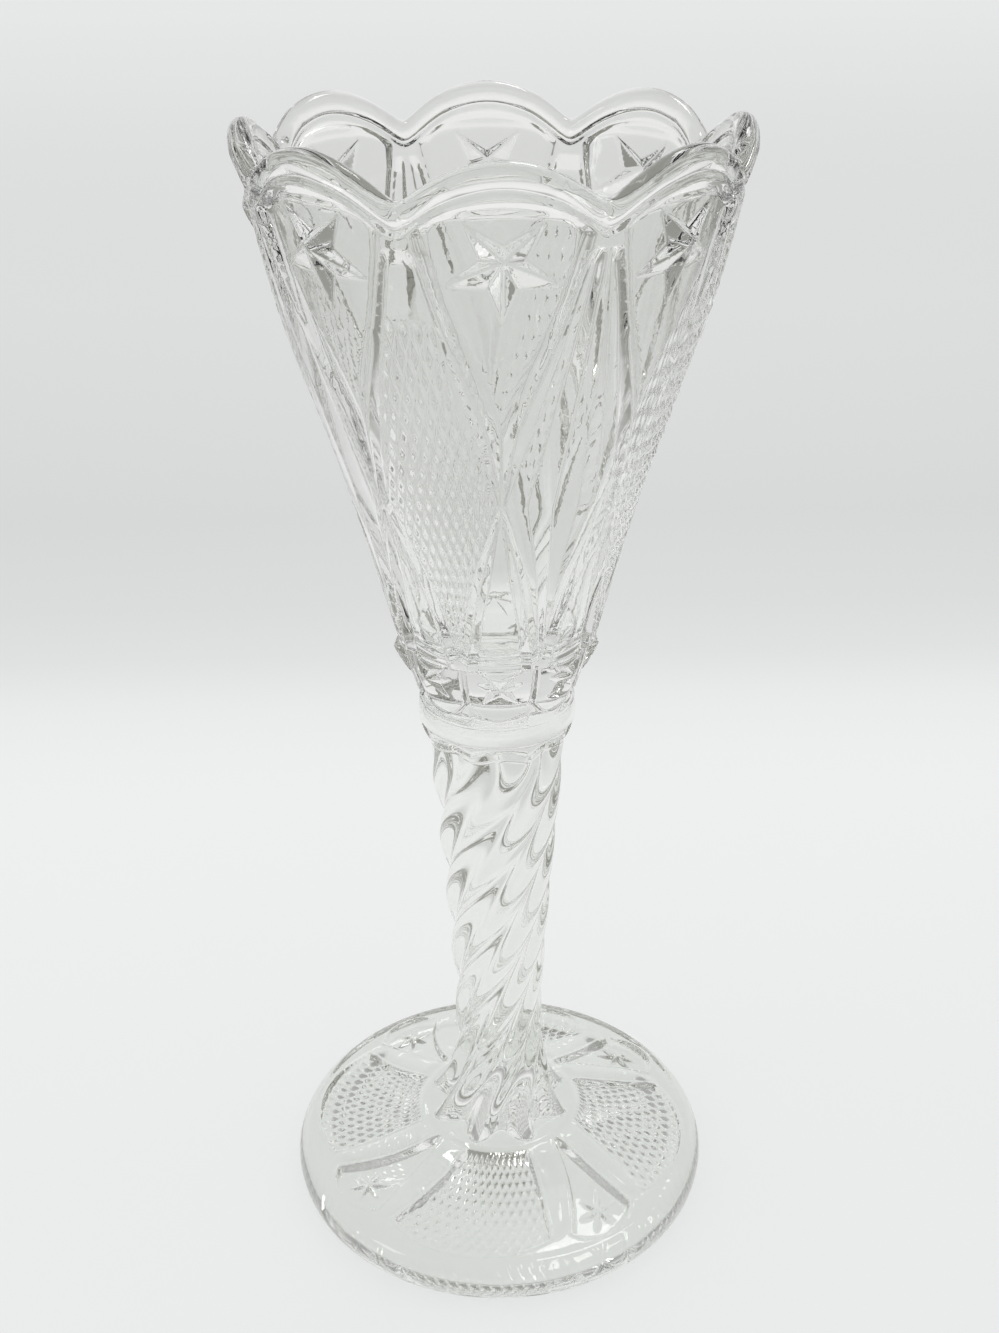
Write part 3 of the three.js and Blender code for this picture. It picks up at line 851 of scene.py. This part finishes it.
def make_foot(material):
    """The foot, from the recess underneath round its edge and over the dome to the seat."""
    grid = Lattice(np.linspace(0, TOP_RADIUS - SEAT_RADIUS, FOOT_ROWS + 1))
    radii = np.linspace(SEAT_RADIUS + LINE_START, PATTERN_RADIUS - PATTERN_ROUND, 40)
    fan, petal = foot_edges(radii)
    shares = np.linspace(-1, 1, 41)
    ends = PATTERN_RADIUS - PATTERN_ROUND * shares**2
    for repeat in range(FANS):
        middle = repeat * 2 * HALF_FAN
        for inset in (0.0, FOOT_SLOPE, -FOOT_BEAD_WIDTH):
            less = np.degrees(inset / radii)
            for side in (-1, 1):
                grid.draw(middle + side * (fan * HALF_FAN - less), TOP_RADIUS - radii)
                petal_side = np.maximum((1 - petal) * HALF_FAN - less, 0)
                grid.draw(middle + HALF_FAN + side * petal_side, TOP_RADIUS - radii)
            for width, centre in ((FAN_EDGE[1], middle), (1 - PETAL_EDGE[1], middle + HALF_FAN)):
                grid.draw(centre + shares * width * HALF_FAN, TOP_RADIUS - ends + inset)
    angle, inward = grid.points()
    radius = TOP_RADIUS - inward
    top = polar(angle + foot_turn(radius), radius, foot_top(radius) + foot_relief(angle, inward))

    plain = np.arange(COLUMNS) * 360 / COLUMNS
    recess = FOOT_RADIUS - FOOT_BASE_ROUND - REST_RING_WIDTH
    under = []
    for part in np.linspace(0, 1, 9):
        at = lerp(recess - RECESS_SLOPE, recess, part)
        height = lerp(RECESS_DEPTH, 0, smoothstep(part, 0, 1))
        under.append(polar(plain + FOOT_TURN, at, height))
    middle = FOOT_EDGE_HEIGHT / 2
    for turn in np.linspace(-np.pi / 2, np.pi / 2, 27)[:-1]:
        inset = FOOT_BASE_ROUND if turn < 0 else FOOT_EDGE_ROUND
        at = FOOT_RADIUS - inset * (1 - np.cos(turn))
        under.append(polar(plain + FOOT_TURN, at, middle * (1 + np.sin(turn))))
    seat = stem_point(plain, 0.0)
    seat[:, 2] = FOOT_HEIGHT
    seat = np.roll(seat, -round(foot_turn(SEAT_RADIUS) * COLUMNS / 360), 0)
    rings = np.concatenate([np.array(under), top, seat[None]])
    count = rings.shape[0] * COLUMNS
    numbers = np.arange(count).reshape(-1, COLUMNS)
    points = np.concatenate([rings.reshape(-1, 3), [[0, 0, RECESS_DEPTH], [0, 0, FOOT_HEIGHT]]])
    other = np.zeros((rings.shape[0] - 1, COLUMNS), bool)
    first = len(under)
    other[first: first + len(grid.levels) - 1] = grid.other_diagonal(foot_relief)
    faces = np.concatenate([
        cap(numbers[0], count, False),
        band(numbers[:-1], numbers[1:], other),
    ])
    return glass_piece("foot_glass", points, faces, cap(numbers[-1], count + 1, True),
                       material, "foot")


# Materials


class Value:
    """A number in a node tree, for use in Python expressions, which add Math nodes."""

    def __init__(self, tree, socket):
        self.tree = tree
        self.socket = socket

    def __add__(self, other):
        return self.tree.math("ADD", self, other)

    def __sub__(self, other):
        return self.tree.math("SUBTRACT", self, other)

    def __rsub__(self, other):
        return self.tree.math("SUBTRACT", other, self)

    def __mul__(self, other):
        return self.tree.math("MULTIPLY", self, other)

    def __truediv__(self, other):
        return self.tree.math("DIVIDE", self, other)

    def __rtruediv__(self, other):
        return self.tree.math("DIVIDE", other, self)

    __radd__ = __add__
    __rmul__ = __mul__


class Tree:
    """The node tree of a material or of the world."""

    def __init__(self, owner):
        owner.use_nodes = True
        self.tree = owner.node_tree
        self.tree.nodes.clear()

    def node(self, kind, settings=None, inputs=None):
        """Adds a node, with its settings first and then the values or links of its sockets."""
        node = self.tree.nodes.new(kind)
        for name, value in (settings or {}).items():
            if name != "stops":
                setattr(node, name, value)
                continue
            stops = node.color_ramp.elements
            while len(stops) > 1:
                stops.remove(stops[-1])
            for number, (place, colour) in enumerate(value):
                stop = stops[0] if number == 0 else stops.new(place)
                stop.position = place
                stop.color = (*colour, 1)
        for name, value in (inputs or {}).items():
            if isinstance(value, Value):
                value = value.socket
            if isinstance(value, bpy.types.NodeSocket):
                self.tree.links.new(value, node.inputs[name])
            else:
                node.inputs[name].default_value = value
        return node

    def math(self, operation, *terms):
        """The result of a Math node."""
        node = self.node("ShaderNodeMath", {"operation": operation}, dict(enumerate(terms)))
        return Value(self, node.outputs[0])

    def noise(self, place, scale, detail=2.0):
        """Soft noise from 0 to 1 at a number of features per metre."""
        node = self.node("ShaderNodeTexNoise", None,
                         {"Vector": place, "Scale": scale, "Detail": detail})
        return Value(self, node.outputs["Fac"])


def pressed_glass(name, tint):
    """Clear pressed glass, fire polished: a faint waviness and slightly uneven polish.

    Seven tenths of a wide noise and three of a fine one make the waviness, as a bump, and a
    third noise makes the roughness. Rays on their way from a lamp or from the floor go
    straight through, so the floor keeps a light, even shadow.
    """
    material = bpy.data.materials.new(name)
    tree = Tree(material)
    place = tree.node("ShaderNodeTexCoord").outputs["Object"]
    waves = tree.noise(place, WIDE_WAVES) * 0.7 + tree.noise(place, FINE_WAVES) * 0.3
    bump = tree.node("ShaderNodeBump", None,
                     {"Strength": 1.0, "Distance": RIPPLE * MM, "Height": waves})
    polish = tree.noise(place, POLISH_PATCHES) * MOST_ROUGHNESS
    glass = tree.node("ShaderNodeBsdfPrincipled", None, {
        "Base Color": (*tint, 1), "Roughness": polish, "IOR": GLASS_IOR,
        "Transmission Weight": 1.0, "Normal": bump.outputs[0]})
    through = tree.node("ShaderNodeBsdfTransparent", None, {"Color": (0.95, 0.955, 0.95, 1)})
    path = tree.node("ShaderNodeLightPath")
    surface = glass.outputs[0]
    for ray in ("Is Shadow Ray", "Is Diffuse Ray"):
        surface = tree.node("ShaderNodeMixShader", None, {
            0: path.outputs[ray], 1: surface, 2: through.outputs[0]}).outputs[0]
    tree.node("ShaderNodeOutputMaterial", None, {"Surface": surface})
    return material


def fused_glass():
    """Where two pieces are one glass: nothing shows there."""
    material = bpy.data.materials.new("fused_joint")
    tree = Tree(material)
    shader = tree.node("ShaderNodeBsdfPrincipled", None,
                       {"Base Color": (0.9, 0.92, 0.91, 1), "Alpha": 0.0})
    tree.node("ShaderNodeOutputMaterial", None, {"Surface": shader.outputs[0]})
    return material


# Floor, light and camera


def make_floor():
    """A wide pale table: near white round the vase, with painted shade in a soft grey band across
    behind it.

    Its tone runs straight between the given ones, by the distance behind the vase. What glass
    shows of it is darker to both sides and just in front, but not far in front: there it is
    painted shade, the dark colour of a room, and it fades straight to that shade past the edge
    of each of these zones.
    """
    corners = [(x * TABLE_SIZE, y * TABLE_SIZE, TABLE_LEVEL)
               for x, y in ((-1, -1), (1, -1), (1, 1), (-1, 1))]
    mesh = bpy.data.meshes.new("floor")
    mesh.from_pydata(corners, [], [(0, 1, 2, 3)])
    material = bpy.data.materials.new("pale_table")
    tree = Tree(material)
    place = tree.node("ShaderNodeTexCoord").outputs["Object"]
    parts = tree.node("ShaderNodeSeparateXYZ", None, {0: place})
    aside, behind = Value(tree, parts.outputs["X"]), Value(tree, parts.outputs["Y"])
    # The grey band in these tones behind the vase is painted shade.
    tones_with_painted_shade = [(0.0, 0.808), (0.10, 0.822), (0.17, 0.830), (0.20, 0.822), (0.24, 0.795),
             (0.28, 0.727), (0.33, 0.690), (0.43, 0.664), (0.53, 0.685), (0.65, 0.705),
             (0.84, 0.733), (1.44, 0.770), (1.96, 0.808), (2.84, 0.844)]
    reach = 3.0
    stops = [(metres / reach, (tone * 0.99, tone, tone)) for metres, tone in tones_with_painted_shade]
    ramp = tree.node("ShaderNodeValToRGB", {"stops": stops}, {0: behind / reach})
    table = tree.node("ShaderNodeBsdfPrincipled", None, {
        "Base Color": ramp.outputs[0], "Roughness": 0.9, "Specular IOR Level": 0.0})
    # The room's dark colour is painted shade, shown to glass at the table's sides and in front.
    room = tree.node("ShaderNodeBsdfPrincipled", None, {
        "Base Color": (0.3, 0.3, 0.28, 1), "Roughness": 0.9, "Specular IOR Level": 0.0})
    spread = tree.math("MAXIMUM", behind, 0.0) * CLEAR_WIDENING
    beside = tree.math("ABSOLUTE", aside) - spread - CLEAR_HALF_WIDTH
    beside = tree.math("MINIMUM", beside, behind + SIDE_SHADE_END)
    near, far = FRONT_SHADE
    before = tree.math("MINIMUM", -near - behind, behind + far)
    shaded = tree.math("MAXIMUM", beside, before)
    edge = tree.node("ShaderNodeValToRGB", {"stops": [(0.0, (0,) * 3), (1.0, (1,) * 3)]},
                     {0: shaded / SHADE_FADE})
    path = tree.node("ShaderNodeLightPath")
    inside = tree.node("ShaderNodeMixShader", None, {
        0: edge.outputs[0], 1: table.outputs[0], 2: room.outputs[0]})
    surface = tree.node("ShaderNodeMixShader", None, {
        0: path.outputs["Is Camera Ray"], 1: inside.outputs[0], 2: table.outputs[0]})
    tree.node("ShaderNodeOutputMaterial", None, {"Surface": surface.outputs[0]})
    mesh.materials.append(material)
    floor = bpy.data.objects.new("floor", mesh)
    bpy.context.scene.collection.objects.link(floor)


def make_world():
    """A pale room. What glass shows of it is darker overhead and towards the front.

    Its tone runs straight between the given ones, by how far up it is seen, and then fades
    straight to the shade, by how far it is seen to the front.
    """
    world = bpy.data.worlds.new("pale_room")
    bpy.context.scene.world = world
    tree = Tree(world)
    place = tree.node("ShaderNodeTexCoord").outputs["Generated"]
    parts = tree.node("ShaderNodeSeparateXYZ", None, {0: place})
    up, behind = Value(tree, parts.outputs["Z"]), Value(tree, parts.outputs["Y"])
    stops = [(0.0, (0.85,) * 3), (0.12, (0.9,) * 3), (0.3, (0.9,) * 3), (0.5, (0.45,) * 3),
             (0.8, (0.38,) * 3), (1.0, (0.5,) * 3)]
    seen = tree.node("ShaderNodeValToRGB", {"stops": stops}, {0: up})
    path = tree.node("ShaderNodeLightPath")
    light = tree.node("ShaderNodeBackground", None, {"Color": (1, 1, 1, 1), "Strength": 0.95})
    wall = tree.node("ShaderNodeBackground", None, {"Color": seen.outputs[0]})
    shade = tree.node("ShaderNodeBackground", None, {"Color": (0.27, 0.27, 0.24, 1)})
    edge = tree.node("ShaderNodeValToRGB", {"stops": [(0.35, (0,) * 3), (0.75, (1,) * 3)]},
                     {0: behind})
    room = tree.node("ShaderNodeMixShader", None, {
        0: edge.outputs[0], 1: shade.outputs[0], 2: wall.outputs[0]})
    back = tree.node("ShaderNodeBackground", None, {"Color": (0.8, 0.81, 0.81, 1)})
    surface = light.outputs[0]
    for ray, shown in (("Is Glossy Ray", room), ("Is Transmission Ray", room),
                       ("Is Camera Ray", back)):
        surface = tree.node("ShaderNodeMixShader", None, {
            0: path.outputs[ray], 1: surface, 2: shown.outputs[0]}).outputs[0]
    tree.node("ShaderNodeOutputWorld", None, {"Surface": surface})


def place_view(name, data, across, up, back, place):
    """Adds a lamp or camera at a place, facing away from back."""
    view = bpy.data.objects.new(name, data)
    view.matrix_world = Matrix([[across[k], up[k], back[k], place[k]] for k in range(3)]
                               + [[0, 0, 0, 1]])
    bpy.context.scene.collection.objects.link(view)
    return view


def soft_box(name, place, size, watts):
    """A square lamp that looks at the vase."""
    data = bpy.data.lights.new(name, "AREA")
    data.shape = "SQUARE"
    data.size = size
    data.energy = watts
    back = (np.array(place) - VASE_MIDDLE) / math.dist(place, VASE_MIDDLE)
    across = np.cross([0.0, 1.0, 0.001], back)
    across /= np.linalg.norm(across)
    place_view(name, data, across, np.cross(back, across), back, place)


def make_camera():
    """The photograph's view: in front, above the rim, and looking down at the vase."""
    distance, height = 0.3206, 0.2979
    yaw, pitch, roll = math.radians(-1.8), math.radians(26.79), math.radians(-0.325)

    def turned(x, y, z):
        """A direction turned by the yaw."""
        return np.array([x * math.cos(yaw) - y * math.sin(yaw),
                         x * math.sin(yaw) + y * math.cos(yaw), z])

    right, rise = turned(1, 0, 0), turned(0, math.sin(pitch), math.cos(pitch))
    back = turned(0, -math.cos(pitch), math.sin(pitch))
    across = math.cos(roll) * right + math.sin(roll) * rise
    up = -math.sin(roll) * right + math.cos(roll) * rise
    place = turned(0, -distance, height)
    data = bpy.data.cameras.new("camera")
    data.lens = 45.1
    data.sensor_width = 36
    data.shift_x = 0.0021
    data.clip_start = 0.01
    bpy.context.scene.camera = place_view("camera", data, across, up, back, place)


FUSED = fused_glass()

make_camera()
make_floor()
make_world()
soft_box("top_light", (0.2, 0.42, 0.95), 0.22, 0.8)
soft_box("side_light", (-0.8, -0.4, 0.6), 0.25, 0.6)

make_bowl(pressed_glass("bowl_glass", WALL_TINT))
make_collar(pressed_glass("collar_glass", SOLID_TINT))
make_stem(pressed_glass("stem_glass", SOLID_TINT))
make_foot(pressed_glass("foot_glass", SOLID_TINT))

scene = bpy.context.scene
scene.view_settings.view_transform = "Standard"
scene.cycles.max_bounces = 24
scene.cycles.transmission_bounces = 24
scene.cycles.glossy_bounces = 8
scene.cycles.transparent_max_bounces = 48
